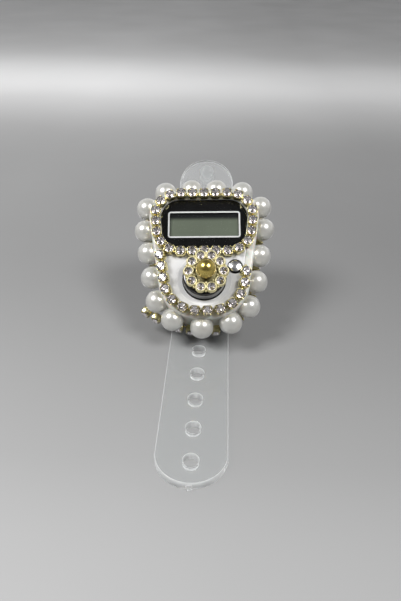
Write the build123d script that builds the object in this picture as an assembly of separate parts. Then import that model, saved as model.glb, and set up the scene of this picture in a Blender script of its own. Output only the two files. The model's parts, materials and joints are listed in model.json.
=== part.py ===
from build123d import *
import math
import os

# Digital tasbih counter, decorated by hand: a finger tally counter with pearl beads and
# stone-set cup chains glued to its case. All sizes are in millimetres.
# Case pieces are drawn in the case frame: X to the right, Y up the face, Z out of the face,
# with the back of the case at Z = 0. The case then leans back on its bowed strap.
# In the part frame X is to the right, Y away from the viewer and Z up from the table.

# Case
case_top_width = 28.6
top_crown = 0.7
case_bottom_width = 18.4
top_corner_radius = 6.0
bottom_corner_radius = 9.0
split_below_draft = 1.6
wall_draft = 8.0
side_wall = 1.3
face_wall = 1.4
cover_floor = 1.2
face_edge_radius = 0.45
back_edge_radius = 0.9
lip_height = 1.0
lip_wall = 0.8
lip_below_board = 0.7
fit_gap = 0.1
touch_gap = 0.05

# Display
lens_top_from_side = 1.975
lens_foot_from_side = 1.385
lens_height = 14.0
lens_top_margin = 1.5
dial_height = 17.8
lens_corner_radius = 5.0
lens_thickness = 0.8
mask_thickness = 0.1
window_side_band = 2.25
window_band = 3.65
window_corner = 0.6
lcd_from_side = 2.88
lcd_end_lap = 1.45
lcd_plate = 0.7
rubber_strip_width = 1.6
frame_ledge = 0.5

# Buttons
count_above_foot = 9.15
count_diameter = 11.0
count_rise = 3.2
count_travel = 0.6
count_edge_radius = 0.7
reset_from_side = 3.15
reset_above_foot = 12.55
reset_diameter = 3.6
reset_rise = 0.7
reset_travel = 0.45
reset_ear_length = 5.2
reset_ear_width = 1.5
button_gap = 0.2
flange_width = 0.6
flange_thickness = 0.7
dish_width = 1.3
dish_depth = 0.5
count_dome_diameter = 7.0
reset_dome_diameter = 3.6
dome_height = 0.7
dome_sheet = 0.15
stem_diameter = 3.0
reset_stem_diameter = 1.6

# Circuit and battery
board_thickness = 0.8
board_edge_gap = 0.5
battery_diameter = 11.6
battery_cap_diameter = 9.8
battery_thickness = 3.05
battery_step = 0.6
display_room = 1.65
battery_above_foot = 11.65
contact_sheet = 0.25
contact_room = 0.4
leaf_diameter = 7.4
contact_point_diameter = 2.3
plus_strip_width = 2.9
well_wall = 0.8
well_to_board = 1.5
door_sheet = 0.6
door_lap = 0.5
door_ear_width = 4.0
coin_slot_length = 5.8
coin_slot_width = 1.3
coin_slot_depth = 0.3
chip_diameter = 7.0
chip_height = 1.1
chip_below_top = 8.15
component_count = 4
component_length = 0.8
component_width = 0.4
component_pitch = 1.6

# Screws
case_screw_from_side = 2.15
case_screw_above_foot = 5.45
case_boss_diameter = 3.4
case_screw_diameter = 1.2
case_head_diameter = 2.2
head_height = 0.7
recess_length = 1.2
recess_width = 0.36
recess_depth = 0.35
board_screw_from_side = 3.6
board_screw_above_foot = 17.25
board_boss_diameter = 2.6
board_screw_diameter = 1.0
board_head_diameter = 1.9
thread_bite = 2.0

# Pearl beads round the rim, anticlockwise from the lowest one, each nudged from even spacing
pearl_diameter = 6.0
pearl_below_face = 3.0
glue_film = 0.15
pearl_pitch = 6.83
pearl_nudges = (-0.7, -0.15, -0.75, -0.6, -0.25, 0.5, 0.15, 0.0, 0.15,
                -0.1, 0.1, 0.05, -0.2, -0.65, -0.7, -1.0, -1.6)
glue_reach = 1.35
glue_over_cup_foot = 0.5
glue_round = 0.7

# Cup chain: square cups with a stone each
cup_width = 2.5
cup_height = 1.9
cup_corner = 0.5
cup_wall_below = 0.85
prong_width = 0.5
prong_rise = 0.3
link_pitch = 3.12
tab_width = 0.7
tab_height = 0.35
tab_lift = 0.3
stone_radius = 1.1
crown_height = 0.45
crown_slope = 38.0
pavilion_height = 0.6
pavilion_slope = 40.0
stone_sides = 8
dial_chain_inset = 0.6
dial_chain_tilt = 20.0
dial_chain_shift = 0.8
dial_links_left = 7
dial_links_right = 5
side_chain_drop = 5.2
side_chain_start = -3.5
side_chain_links = 29
loose_links = 4
loose_radius = 30.0

# Flower setting on the count button
flower_stones_count = 10
flower_ring_radius = 4.39
flower_cup_radius = 1.42
flower_cup_height = 1.6
flower_plate = 0.6
flower_stone_radius = 1.02
flower_shift_right = 0.5
flower_shift_up = 0.45
gold_pearl_diameter = 5.1
pearl_seat_radius = 2.0
pearl_seat_height = 1.2

# Strap and pose
lean = 38.5
case_twist = 2.4
strap_width = 15.4
strap_thickness = 2.0
strap_riser = 3.2
strap_back_gap = 0.25
strap_past_top = 17.35
strap_tip_reach = 50.4
strap_flex_reach = 13.0
hole_diameter = 3.2
hole_pitch = 9.0
hole_to_tip = 5.9
holes_in_tail = 4
nub_width = 1.4
nub_reach = 0.7
stud_to_tip = 5.2
stud_post_diameter = 2.6
stud_head_diameter = 4.0
stud_head_height = 1.3
stud_neck = 2.1
stud_foot_height = 0.5
keeper_below_top = 5.25
keeper_length = 4.6
keeper_foot_width = 2.9
keeper_bar = 1.3
keeper_side_gap = 0.3
keeper_edge_radius = 0.5
rest_gap = 0.1

# Places up the face, from the case's foot and top
case_height = dial_height + lens_height + lens_top_margin
foot = -case_height / 2
top = case_height / 2
lens_centre_up = top - lens_top_margin - lens_height / 2
window_height = lens_height - 2 * window_band
lcd_height = window_height + 2 * lcd_end_lap
count_centre_up = foot + count_above_foot
reset_centre_up = foot + reset_above_foot
battery_centre_up = foot + battery_above_foot
case_screw_up = foot + case_screw_above_foot
board_screw_up = foot + board_screw_above_foot
chip_centre_up = top - chip_below_top
keeper_centre_up = top - keeper_below_top
strap_short_reach = top + strap_past_top

# Levels through the case, from the back
battery_bottom = cover_floor + touch_gap
battery_top = battery_bottom + battery_thickness
board_bottom = battery_top + contact_room
board_top = board_bottom + board_thickness
lcd_bottom = board_top + display_room
lcd_middle = lcd_bottom + lcd_plate
lcd_top = lcd_middle + lcd_plate
ceiling = lcd_top + touch_gap
case_depth = ceiling + face_wall
lens_seat = case_depth - lens_thickness - mask_thickness
cover_depth = board_bottom - lip_below_board - lip_height
draft_start = cover_depth + split_below_draft
well_height = board_bottom - cover_floor - well_to_board
pearl_height = case_depth - pearl_below_face
side_chain_height = pearl_height - side_chain_drop
glue_bottom = side_chain_height - cup_width / 2 + glue_over_cup_foot
flange_top = ceiling - touch_gap
flange_bottom = flange_top - flange_thickness
flower_base = case_depth + count_rise + touch_gap
pearl_radius = pearl_diameter / 2


def half_width(up):
    """Half the case's width between its straight sides, at a place up the face."""
    slope = (case_top_width - case_bottom_width) / 2 / (case_height - top_crown)
    return case_bottom_width / 2 + (up - foot) * slope


lens_top_width = 2 * (half_width(top - lens_top_margin) - lens_top_from_side)
lens_bottom_width = 2 * (half_width(foot + dial_height) - lens_foot_from_side)
window_width = (lens_top_width + lens_bottom_width) / 2 - 2 * window_side_band
lcd_width = 2 * (half_width(lens_centre_up) - lcd_from_side)
reset_right = half_width(reset_centre_up) - reset_from_side
case_screw_right = half_width(case_screw_up) - case_screw_from_side
board_screw_right = half_width(board_screw_up) - board_screw_from_side


def cylinder(radius, low, high, right=0.0, up=0.0):
    """An upright round bar between two levels of the case frame."""
    return Pos(right, up, (low + high) / 2) * Cylinder(radius, high - low)


def block(width, height, low, high, right=0.0, up=0.0):
    """An upright box between two levels of the case frame."""
    return Pos(right, up, (low + high) / 2) * Box(width, height, high - low)


def slab(face, low, high):
    """A flat outline raised between two levels."""
    return Pos(0, 0, low) * extrude(face, amount=high - low)


def tapered_panel(top_width, bottom_width, height, crown, top_radius, bottom_radius):
    """A rounded panel outline, wider at the top, whose top edge may bow upwards."""
    half = height / 2
    foot_right = Vector(bottom_width / 2, -half)
    foot_left = Vector(-bottom_width / 2, -half)
    top_right = Vector(top_width / 2, half - crown)
    top_left = Vector(-top_width / 2, half - crown)
    rim = Line(foot_left, foot_right) + Line(foot_right, top_right) + Line(top_left, foot_left)
    if crown > 0:
        rim += ThreePointArc(top_right, (0, half), top_left)
    else:
        rim += Line(top_right, top_left)
    panel = make_face(rim)
    panel = fillet([corner for corner in panel.vertices() if corner.Y > 0], top_radius)
    feet = [corner for corner in panel.vertices() if corner.Y < touch_gap - half]
    return fillet(feet, bottom_radius)


def grown(panel, margin):
    return offset(panel, amount=margin) if margin else panel


def case_outline(margin=0.0):
    panel = tapered_panel(case_top_width, case_bottom_width, case_height,
                          top_crown, top_corner_radius, bottom_corner_radius)
    return grown(panel, margin)


def lens_outline(margin=0.0):
    corner = min(lens_corner_radius, lens_height / 2 - touch_gap)
    panel = tapered_panel(lens_top_width, lens_bottom_width, lens_height, 0, corner, corner)
    return Pos(0, lens_centre_up) * grown(panel, margin)


def window_outline(grow=0.0):
    corner = min(window_corner, window_height / 2 - touch_gap)
    return Pos(0, lens_centre_up) * RectangleRounded(
        window_width + 2 * grow, window_height + 2 * grow, corner
    )


def drafted_block(inset, low, high):
    """The case's outer form, or its hollow when inset, from a level up to another."""
    straight = slab(case_outline(-inset), low, draft_start)
    leaning = Pos(0, 0, draft_start) * extrude(
        case_outline(-inset), amount=high - draft_start, taper=wall_draft
    )
    return straight + leaning


def walk(wire, distance):
    """Point, forward direction and outward direction on a closed outline, anticlockwise from its foot."""
    foot = Vector(0, wire.bounding_box().min.Y, wire.bounding_box().min.Z)
    start = wire.param_at_point(foot)
    turn = 1 if wire.tangent_at(start).X > 0 else -1
    share = (start + turn * distance / wire.length) % 1.0
    forward = wire.tangent_at(share) * turn
    outward = forward.cross(Vector(0, 0, 1))
    return wire.position_at(share), forward, outward


def front_case():
    shell = drafted_block(0, cover_depth, case_depth)
    shell = fillet(shell.faces().sort_by(Axis.Z)[-1].edges(), face_edge_radius)
    shell -= drafted_block(side_wall, cover_depth, ceiling)
    hollow = slab(case_outline(-side_wall / 2), cover_depth, ceiling)
    for side in (-1, 1):
        boss = cylinder(case_boss_diameter / 2, cover_floor + touch_gap, ceiling + touch_gap,
                        side * case_screw_right, case_screw_up)
        boss = boss & slab(case_outline(-side_wall / 2), cover_floor, ceiling + touch_gap)
        trim = slab(case_outline(-side_wall - touch_gap), cover_floor, cover_depth)
        low_boss = boss & trim
        shell += (boss & hollow) + low_boss
        shell += cylinder(board_boss_diameter / 2, board_top + touch_gap, ceiling + touch_gap,
                          side * board_screw_right, board_screw_up)
        shell -= cylinder(case_screw_diameter / 2 + touch_gap / 2, cover_floor, ceiling - face_wall,
                          side * case_screw_right, case_screw_up)
        shell -= cylinder(board_screw_diameter / 2 + touch_gap / 2, board_top, ceiling - touch_gap,
                          side * board_screw_right, board_screw_up)
    shell -= slab(lens_outline(fit_gap), lens_seat, case_depth)
    shell -= slab(window_outline(frame_ledge), ceiling - touch_gap, case_depth)
    count_hole = count_diameter / 2 + button_gap
    shell -= cylinder(count_hole, ceiling - touch_gap, case_depth, 0, count_centre_up)
    dish = Cone(count_hole, count_hole + dish_width, dish_depth)
    shell -= Pos(0, count_centre_up, case_depth - dish_depth / 2) * dish
    shell -= cylinder(reset_diameter / 2 + button_gap, flange_bottom - reset_travel - button_gap, case_depth,
                      reset_right, reset_centre_up)
    return shell


def back_cover():
    shell = slab(case_outline(), 0, cover_depth)
    shell = fillet(shell.faces().sort_by(Axis.Z)[0].edges(), back_edge_radius)
    shell -= slab(case_outline(-side_wall), cover_floor, cover_depth)
    lip_outer = slab(case_outline(-side_wall - fit_gap), cover_floor, cover_depth + lip_height)
    shell += lip_outer - slab(case_outline(-side_wall - fit_gap - lip_wall),
                              cover_floor, cover_depth + lip_height)
    well_inner = battery_diameter / 2 + contact_sheet + 2 * fit_gap
    well = cylinder(well_inner + well_wall, cover_floor, cover_floor + well_height, 0, battery_centre_up)
    shell += well
    shell += cylinder(case_head_diameter / 2, cover_floor, cover_floor + well_height,
                      0, door_screw_up())
    shell -= cylinder(well_inner, 0, cover_floor + well_height, 0, battery_centre_up)
    shell -= slab(door_outline(fit_gap), 0, door_sheet + touch_gap)
    shell -= cylinder(board_screw_diameter / 2 + touch_gap / 2, 0, cover_floor + well_height - touch_gap,
                      0, door_screw_up())
    for side in (-1, 1):
        x, y = side * case_screw_right, case_screw_up
        shell -= cylinder(case_boss_diameter / 2 + fit_gap, cover_floor, cover_depth + lip_height, x, y)
        shell -= cylinder(case_screw_diameter / 2 + fit_gap, 0, cover_floor, x, y)
        shell -= cylinder(case_head_diameter / 2 + fit_gap, 0, head_height, x, y)
        foot_x = side * keeper_screw_right()
        shell -= cylinder(board_screw_diameter / 2 + touch_gap / 2, 0, cover_floor, foot_x, keeper_centre_up)
    return shell


def door_screw_up():
    """Place of the door's screw, whose boss grows out of the battery well's wall towards the foot."""
    reach = battery_diameter / 2 + contact_sheet + 2 * fit_gap + (well_wall + case_head_diameter) / 2
    return battery_centre_up - reach


def door_outline(grow=0.0):
    """Round battery lid with one screw ear."""
    lid = Pos(0, battery_centre_up) * Circle(battery_diameter / 2 + contact_sheet + door_lap + grow)
    ear_end = door_screw_up()
    lid += Pos(0, ear_end) * Circle(door_ear_width / 2 + grow)
    lid += Pos(0, (battery_centre_up + ear_end) / 2) * Rectangle(
        door_ear_width + 2 * grow, battery_centre_up - ear_end
    )
    return lid


def battery_door():
    door = slab(door_outline(), 0, door_sheet)
    plug = battery_diameter / 2 + contact_sheet + fit_gap
    door += cylinder(plug, door_sheet, cover_floor, 0, battery_centre_up)
    door -= cylinder(board_screw_diameter / 2 + fit_gap, 0, door_sheet, 0, door_screw_up())
    return door - block(coin_slot_length, coin_slot_width, 0, coin_slot_depth, 0, battery_centre_up)


def screw(shaft_diameter, head_diameter, head_low, head_thickness, tip):
    """A pan-head screw along Z with a cross recess, its head at the low end."""
    head_high = head_low + head_thickness
    body = cylinder(head_diameter / 2, head_low, head_high) + cylinder(shaft_diameter / 2, head_high, tip)
    recess = block(recess_length, recess_width, head_low, head_low + recess_depth)
    return body - recess - Rot(0, 0, 90) * recess


def case_screws():
    one = screw(case_screw_diameter, case_head_diameter, 0, head_height, board_bottom + thread_bite)
    return [Pos(side * case_screw_right, case_screw_up) * one for side in (-1, 1)]


def board_screws():
    one = screw(board_screw_diameter, board_head_diameter, board_bottom - head_height - touch_gap,
                head_height, board_top + thread_bite)
    return [Pos(side * board_screw_right, board_screw_up) * one for side in (-1, 1)]


def door_screw():
    one = screw(board_screw_diameter, board_head_diameter, -head_height, head_height,
                cover_floor + well_height / 2)
    return Pos(0, door_screw_up(), 0) * one


def display_lens():
    return slab(lens_outline(), lens_seat + mask_thickness, case_depth)


def lens_mask():
    return slab(lens_outline() - window_outline(), lens_seat, lens_seat + mask_thickness)


def lcd_plate_at(low):
    return block(lcd_width, lcd_height, low, low + lcd_plate, 0, lens_centre_up)


def rubber_strip():
    """Elastomer connector between the display glass and the board, along the glass's upper edge."""
    up = lens_centre_up + lcd_height / 2 - rubber_strip_width / 2
    return block(lcd_width - 2 * rubber_strip_width, rubber_strip_width, board_top, lcd_bottom, 0, up)


def circuit_board():
    board = slab(case_outline(-side_wall - board_edge_gap - lip_wall / 2), board_bottom, board_top)
    for side in (-1, 1):
        board -= cylinder(case_boss_diameter / 2 + fit_gap, board_bottom, board_top,
                          side * case_screw_right, case_screw_up)
        board -= cylinder(board_screw_diameter / 2 + fit_gap, board_bottom, board_top,
                          side * board_screw_right, board_screw_up)
    return board


def cap_of_sphere(diameter, height, low):
    """A shallow spherical cap on a level."""
    radius = diameter / 2
    ball = (radius ** 2 + height ** 2) / (2 * height)
    whole = Pos(0, 0, low + height - ball) * Sphere(ball)
    return whole & Pos(0, 0, low + height / 2) * Box(2 * diameter, 2 * diameter, height)


def snap_dome(diameter):
    """Thin metal dome that clicks when a stem presses it onto the board."""
    radius = diameter / 2
    ball = (radius ** 2 + dome_height ** 2) / (2 * dome_height)
    centre = Pos(0, 0, board_top + dome_height - ball)
    skin = centre * Sphere(ball) - centre * Sphere(ball - dome_sheet)
    return skin & Pos(0, 0, board_top + dome_height / 2) * Box(2 * diameter, 2 * diameter, dome_height)


def chip_cap():
    """Round resin drop over the bare chip, on the board's rear side."""
    cap = cap_of_sphere(chip_diameter, chip_height, 0)
    return Pos(0, chip_centre_up, board_bottom) * Rot(180, 0, 0) * cap


def board_components():
    """Small resistors and capacitors on the board's rear side."""
    up = chip_centre_up + chip_diameter / 2 + component_length
    row = []
    for place in range(component_count):
        right = (place - (component_count - 1) / 2) * component_pitch
        row.append(block(component_length, component_width, board_bottom - component_width, board_bottom,
                         right, up))
    return row


def battery_cell():
    rim = cylinder(battery_diameter / 2, battery_bottom, battery_top - battery_step, 0, battery_centre_up)
    cap = cylinder(battery_cap_diameter / 2, battery_bottom, battery_top, 0, battery_centre_up)
    return rim + cap


def minus_contact():
    """Sprung leaf under the board that presses on the cell's cap."""
    leaf = cylinder(leaf_diameter / 2, board_bottom - contact_sheet, board_bottom, 0, battery_centre_up)
    point = cylinder(contact_point_diameter / 2, board_bottom - contact_room, board_bottom,
                     0, battery_centre_up)
    return leaf + point


def plus_contact():
    """Upright strip that touches the side of the cell and is soldered to the board."""
    right = battery_diameter / 2 + fit_gap / 2 + contact_sheet / 2
    return block(contact_sheet, plus_strip_width, cover_floor + contact_sheet, board_bottom,
                 right, battery_centre_up)


def count_button():
    radius = count_diameter / 2
    cap = cylinder(radius, flange_bottom, case_depth + count_rise)
    cap = fillet(cap.faces().sort_by(Axis.Z)[-1].edges(), count_edge_radius)
    button = cap + cylinder(radius + button_gap + flange_width, flange_bottom, flange_top)
    button += cylinder(stem_diameter / 2, board_top + dome_height + touch_gap, flange_bottom)
    return Pos(0, count_centre_up, 0) * button


def reset_button():
    radius = reset_diameter / 2
    top = case_depth + reset_rise
    cap = cylinder(radius, flange_bottom, top - reset_rise / 2)
    crown = cap_of_sphere(reset_diameter, reset_rise / 2, top - reset_rise / 2)
    button = cap + crown + block(reset_ear_width, reset_ear_length, flange_bottom, flange_top)
    button += cylinder(reset_stem_diameter / 2, board_top + dome_height + touch_gap, flange_bottom)
    return Pos(reset_right, reset_centre_up, 0) * button


def stone(radius, girdle):
    """An eight-sided cut stone with its girdle at a level."""
    outline = RegularPolygon(radius, stone_sides)
    crown = extrude(outline, amount=crown_height, taper=crown_slope)
    pavilion = Rot(180, 0, 0) * extrude(outline, amount=pavilion_height, taper=pavilion_slope)
    return Pos(0, 0, girdle) * (crown + pavilion)


def cup_link():
    """One square cup of a cup chain, with four prongs and the tab to the next cup along X."""
    outline = chamfer(Rectangle(cup_width, cup_width).vertices(), cup_corner)
    cup = extrude(outline, amount=cup_height)
    cup -= Pos(0, 0, cup_wall_below) * extrude(
        RegularPolygon(stone_radius + touch_gap, stone_sides), amount=cup_height
    )
    reach = (cup_width - cup_corner) / math.sqrt(2) - prong_width / 4
    for quarter in range(4):
        prong = block(prong_width / 2, prong_width, cup_height, cup_height + prong_rise, reach, 0)
        cup += Rot(0, 0, 45 + 90 * quarter) * prong
    tab = link_pitch - cup_width - touch_gap
    cup += block(tab, tab_width, tab_lift, tab_lift + tab_height, (cup_width + tab) / 2, 0)
    return cup


def chain_links(places):
    """Cups and stones of one chain, from a list of places."""
    cup = cup_link()
    gem = stone(stone_radius, cup_height)
    return [place * cup for place in places], [place * gem for place in places]


def link_place(point, forward, axis):
    return Plane(origin=point, x_dir=forward, z_dir=axis).location


def screen_chain_places():
    """A closed ring of links round the lens."""
    wire = (Pos(0, 0, case_depth + touch_gap) * lens_outline(fit_gap + cup_width / 2)).face().outer_wire()
    count = round(wire.length / link_pitch)
    places = []
    for index in range(count):
        point, forward, _ = walk(wire, wire.length * index / count)
        places.append(link_place(point, forward, Vector(0, 0, 1)))
    return places


def dial_chain_places():
    """An open run of links round the foot of the face, tipped outwards."""
    tilt = math.radians(dial_chain_tilt)
    level = case_depth + cup_width / 2 * math.sin(tilt)
    wire = (Pos(0, 0, level) * case_outline(-dial_chain_inset)).face().outer_wire()
    places = []
    for index in range(-dial_links_left, dial_links_right + 1):
        point, forward, outward = walk(wire, dial_chain_shift + index * link_pitch)
        axis = Vector(0, 0, math.cos(tilt)) + outward * math.sin(tilt)
        places.append(link_place(point, forward, axis))
    return places


def side_chain_places():
    """Links glued round the side; the last few leave it on a wider curve."""
    wire = (Pos(0, 0, side_chain_height) * case_outline(glue_reach + touch_gap)).face().outer_wire()
    places = []
    for index in range(side_chain_links):
        point, forward, outward = walk(wire, side_chain_start + index * link_pitch)
        places.append(link_place(point, forward, outward))
    point, forward, outward = walk(wire, side_chain_start)
    centre = point - outward * loose_radius
    for index in range(1, loose_links + 1):
        turn = index * link_pitch / loose_radius
        away = outward * math.cos(turn) - forward * math.sin(turn)
        along = forward * math.cos(turn) + outward * math.sin(turn)
        places.append(link_place(centre + away * loose_radius, along, away))
    return places


def pearl_places():
    """Centres of the rim beads, touching the drafted wall but for a film of glue."""
    draft = math.radians(wall_draft)
    reach = (pearl_radius + glue_film) / math.cos(draft) - (pearl_height - draft_start) * math.tan(draft)
    wire = (Pos(0, 0, pearl_height) * case_outline(reach)).face().outer_wire()
    count = round(wire.length / pearl_pitch)
    centres = []
    for index in range(count):
        nudge = pearl_nudges[index % len(pearl_nudges)]
        centres.append(walk(wire, wire.length * index / count + nudge)[0])
    return centres


def rim_pearls():
    ball = Sphere(pearl_radius)
    return [Pos(*centre) * ball for centre in pearl_places()]


def pearl_glue(pearls):
    """White glue bedded between the case wall and the beads."""
    bed = slab(case_outline(glue_reach), glue_bottom, case_depth - touch_gap)
    bed = fillet(bed.faces().sort_by(Axis.Z)[-1].edges(), glue_round)
    bed -= drafted_block(0, 0, case_depth)
    for pearl in pearls:
        bed -= pearl
    return bed


def flower_centre():
    return Pos(flower_shift_right, count_centre_up + flower_shift_up, flower_base)


def flower_ring():
    step = 360 / flower_stones_count
    return [Rot(0, 0, step * index) * Pos(flower_ring_radius, 0, 0) for index in range(flower_stones_count)]


def flower_setting():
    setting = cylinder(flower_ring_radius, 0, flower_plate)
    for place in flower_ring():
        setting += place * cylinder(flower_cup_radius, 0, flower_cup_height)
    setting += cylinder(pearl_seat_radius, 0, pearl_seat_height)
    pocket = extrude(RegularPolygon(flower_stone_radius + touch_gap, stone_sides), amount=flower_cup_height)
    for place in flower_ring():
        setting -= place * Pos(0, 0, flower_plate) * pocket
    setting -= Pos(0, 0, flower_pearl_level()) * Sphere(gold_pearl_diameter / 2 + touch_gap)
    return flower_centre() * setting


def flower_pearl_level():
    return flower_plate + touch_gap + gold_pearl_diameter / 2


def flower_stones():
    gem = stone(flower_stone_radius, flower_cup_height - touch_gap)
    return [flower_centre() * place * gem for place in flower_ring()]


def gold_pearl():
    return flower_centre() * Pos(0, 0, flower_pearl_level()) * Sphere(gold_pearl_diameter / 2)


def keeper_screw_right():
    return strap_width / 2 + keeper_side_gap + keeper_foot_width / 2


def strap_keeper():
    """Bridge on the back that holds the strap against the case."""
    depth = strap_thickness + 2 * strap_back_gap
    outer = keeper_screw_right() + keeper_foot_width / 2
    bridge = block(2 * outer, keeper_length, -depth - keeper_bar, -touch_gap, 0, keeper_centre_up)
    bridge = fillet(bridge.faces().sort_by(Axis.Z)[0].edges(), keeper_edge_radius)
    bridge -= block(strap_width + 2 * keeper_side_gap, keeper_length, -depth, 0, 0, keeper_centre_up)
    for side in (-1, 1):
        x = side * keeper_screw_right()
        bridge -= cylinder(board_screw_diameter / 2 + fit_gap, -depth - keeper_bar, 0, x, keeper_centre_up)
        bridge -= cylinder(board_head_diameter / 2 + fit_gap, -depth - keeper_bar,
                           head_height - depth - keeper_bar, x, keeper_centre_up)
    return bridge


def keeper_screws():
    low = -strap_thickness - 2 * strap_back_gap - keeper_bar
    one = screw(board_screw_diameter, board_head_diameter, low, head_height, cover_floor - touch_gap)
    return [Pos(side * keeper_screw_right(), keeper_centre_up) * one for side in (-1, 1)]


def back_pose():
    """The leaning back of the case: its lower edge over Y = 0, its lowest cup just clear of the strap."""
    angle = math.radians(lean)
    cup_reach = glue_reach + touch_gap + cup_height + crown_height
    drop = cup_reach * math.sin(angle) - (side_chain_height - cup_width / 2) * math.cos(angle)
    rise = strap_thickness + rest_gap + max(drop, 0) + case_height / 2 * math.sin(angle)
    return Pos(0, case_height / 2 * math.cos(angle), rise) * Rot(lean, 0, 0)


def case_pose():
    """The case sits a little askew on its strap, turned about the middle of the keeper."""
    return back_pose() * Pos(0, keeper_centre_up, 0) * Rot(0, 0, case_twist) * Pos(0, -keeper_centre_up, 0)


def strap_exit():
    """Where the strap's middle line leaves the back of the case, just below the keeper."""
    exit_up = keeper_centre_up - keeper_length / 2 - strap_back_gap
    return (back_pose() * Pos(0, exit_up, -strap_back_gap - strap_thickness / 2)).position


def strap_bend_radius():
    """Radius of the strap's two bends, one on the table and one under the keeper, with the riser between."""
    height = strap_exit().Z - strap_thickness / 2 - strap_riser
    return height / (1 + math.cos(math.radians(lean)))


def strap_path():
    """Middle line of the fixed strap: along the table, up behind the case, then along its back."""
    floor = strap_thickness / 2
    leave = strap_exit()
    end = (back_pose() * Pos(0, strap_short_reach - strap_width / 2, -strap_back_gap - floor)).position
    angle = math.radians(lean)
    bend = strap_bend_radius()
    above = leave - Vector(0, bend * (1 - math.sin(angle)), bend * math.cos(angle))
    below = Vector(0, above.Y, floor + bend)
    run = Vector(0, above.Y - bend, floor)
    front = Vector(0, -strap_flex_reach, floor)
    path = Line(front, run)
    path += TangentArc(run, below, tangent=(0, 1, 0))
    path += Line(below, above)
    path += TangentArc(above, leave, tangent=(0, 0, 1))
    path += Line(leave, end)
    return path


def strap_hole(reach):
    return Pos(0, -reach, strap_thickness / 2) * Cylinder(hole_diameter / 2, strap_thickness)


def hole_reach(index):
    """How far in front of the case's lower back edge a strap hole lies, counted from the tip."""
    return strap_tip_reach - hole_to_tip - index * hole_pitch


def strap_band():
    """Fixed stretch of the clear strap, with the short studded end behind the case."""
    section = Plane(origin=(0, -strap_flex_reach, strap_thickness / 2), x_dir=(1, 0, 0), z_dir=(0, 1, 0))
    band = sweep(section * Rectangle(strap_width, strap_thickness), path=strap_path())
    low = -strap_back_gap - strap_thickness
    end = strap_short_reach - strap_width / 2
    band += back_pose() * cylinder(strap_width / 2, low, -strap_back_gap, 0, end)
    band -= back_pose() * cylinder(stud_post_diameter / 2 + touch_gap / 2, low, -strap_back_gap,
                                   0, strap_short_reach - stud_to_tip)
    return band - strap_hole(hole_reach(holes_in_tail))


def strap_stud():
    """Mushroom stud pressed through the short end; the strap's holes button over it."""
    post = stud_post_diameter / 2
    low = -strap_back_gap - strap_thickness
    top = -strap_back_gap + stud_neck
    stud = cylinder(post, low - stud_foot_height, top + touch_gap)
    stud += cylinder(stud_head_diameter / 2, low - stud_foot_height, low)
    stud += cap_of_sphere(stud_head_diameter, stud_head_height, top)
    return back_pose() * Pos(0, strap_short_reach - stud_to_tip, 0) * stud


def strap_tail():
    """Free end of the strap on the table, with its row of holes and the moulding nub at the tip."""
    straight = strap_tip_reach - strap_width / 2
    length = straight - strap_flex_reach
    tail = Pos(0, -strap_flex_reach - length / 2, strap_thickness / 2) * Box(
        strap_width, length, strap_thickness
    )
    tail += Pos(0, -straight, strap_thickness / 2) * Cylinder(strap_width / 2, strap_thickness)
    tail += Pos(0, -strap_tip_reach, strap_thickness / 2) * Box(nub_width, 2 * nub_reach, strap_thickness / 2)
    for index in range(holes_in_tail):
        tail -= strap_hole(hole_reach(index))
    return tail


def write(name, shape, pose=None):
    """Write one named piece, or a group of like pieces, where it belongs in the part."""
    pieces = shape if isinstance(shape, list) else [shape]
    if pose is not None:
        pieces = [pose * piece for piece in pieces]
    solids = [solid for piece in pieces for solid in piece.solids()]
    export_step(solids[0] if len(solids) == 1 else Compound(children=solids), f"parts/{name}.step")


os.makedirs("parts", exist_ok=True)

pearls = rim_pearls()
screen_cups, screen_stones = chain_links(screen_chain_places())
dial_cups, dial_stones = chain_links(dial_chain_places())
side_cups, side_stones = chain_links(side_chain_places())

case_pieces = {
    "front_case": front_case(),
    "back_cover": back_cover(),
    "battery_door": battery_door(),
    "battery_door_screw": door_screw(),
    "case_screws": case_screws(),
    "display_lens": display_lens(),
    "lens_mask": lens_mask(),
    "lcd_front_glass": lcd_plate_at(lcd_middle),
    "lcd_rear_glass": lcd_plate_at(lcd_bottom),
    "display_connector": rubber_strip(),
    "circuit_board": circuit_board(),
    "board_screws": board_screws(),
    "chip_cap": chip_cap(),
    "board_components": board_components(),
    "count_dome": Pos(0, count_centre_up) * snap_dome(count_dome_diameter),
    "reset_dome": Pos(reset_right, reset_centre_up) * snap_dome(reset_dome_diameter),
    "battery_cell": battery_cell(),
    "battery_minus_contact": minus_contact(),
    "battery_plus_contact": plus_contact(),
    "count_button": count_button(),
    "reset_button": reset_button(),
    "flower_setting": flower_setting(),
    "flower_stones": flower_stones(),
    "flower_pearl": gold_pearl(),
    "rim_pearls": pearls,
    "pearl_glue": pearl_glue(pearls),
    "screen_chain_cups": screen_cups,
    "screen_chain_stones": screen_stones,
    "dial_chain_cups": dial_cups,
    "dial_chain_stones": dial_stones,
    "side_chain_cups": side_cups,
    "side_chain_stones": side_stones,
    "strap_keeper": strap_keeper(),
    "keeper_screws": keeper_screws(),
}
for name, shape in case_pieces.items():
    write(name, shape, case_pose())

write("strap_band", strap_band())
write("strap_stud", strap_stud())
write("strap_tail", strap_tail())
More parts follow.
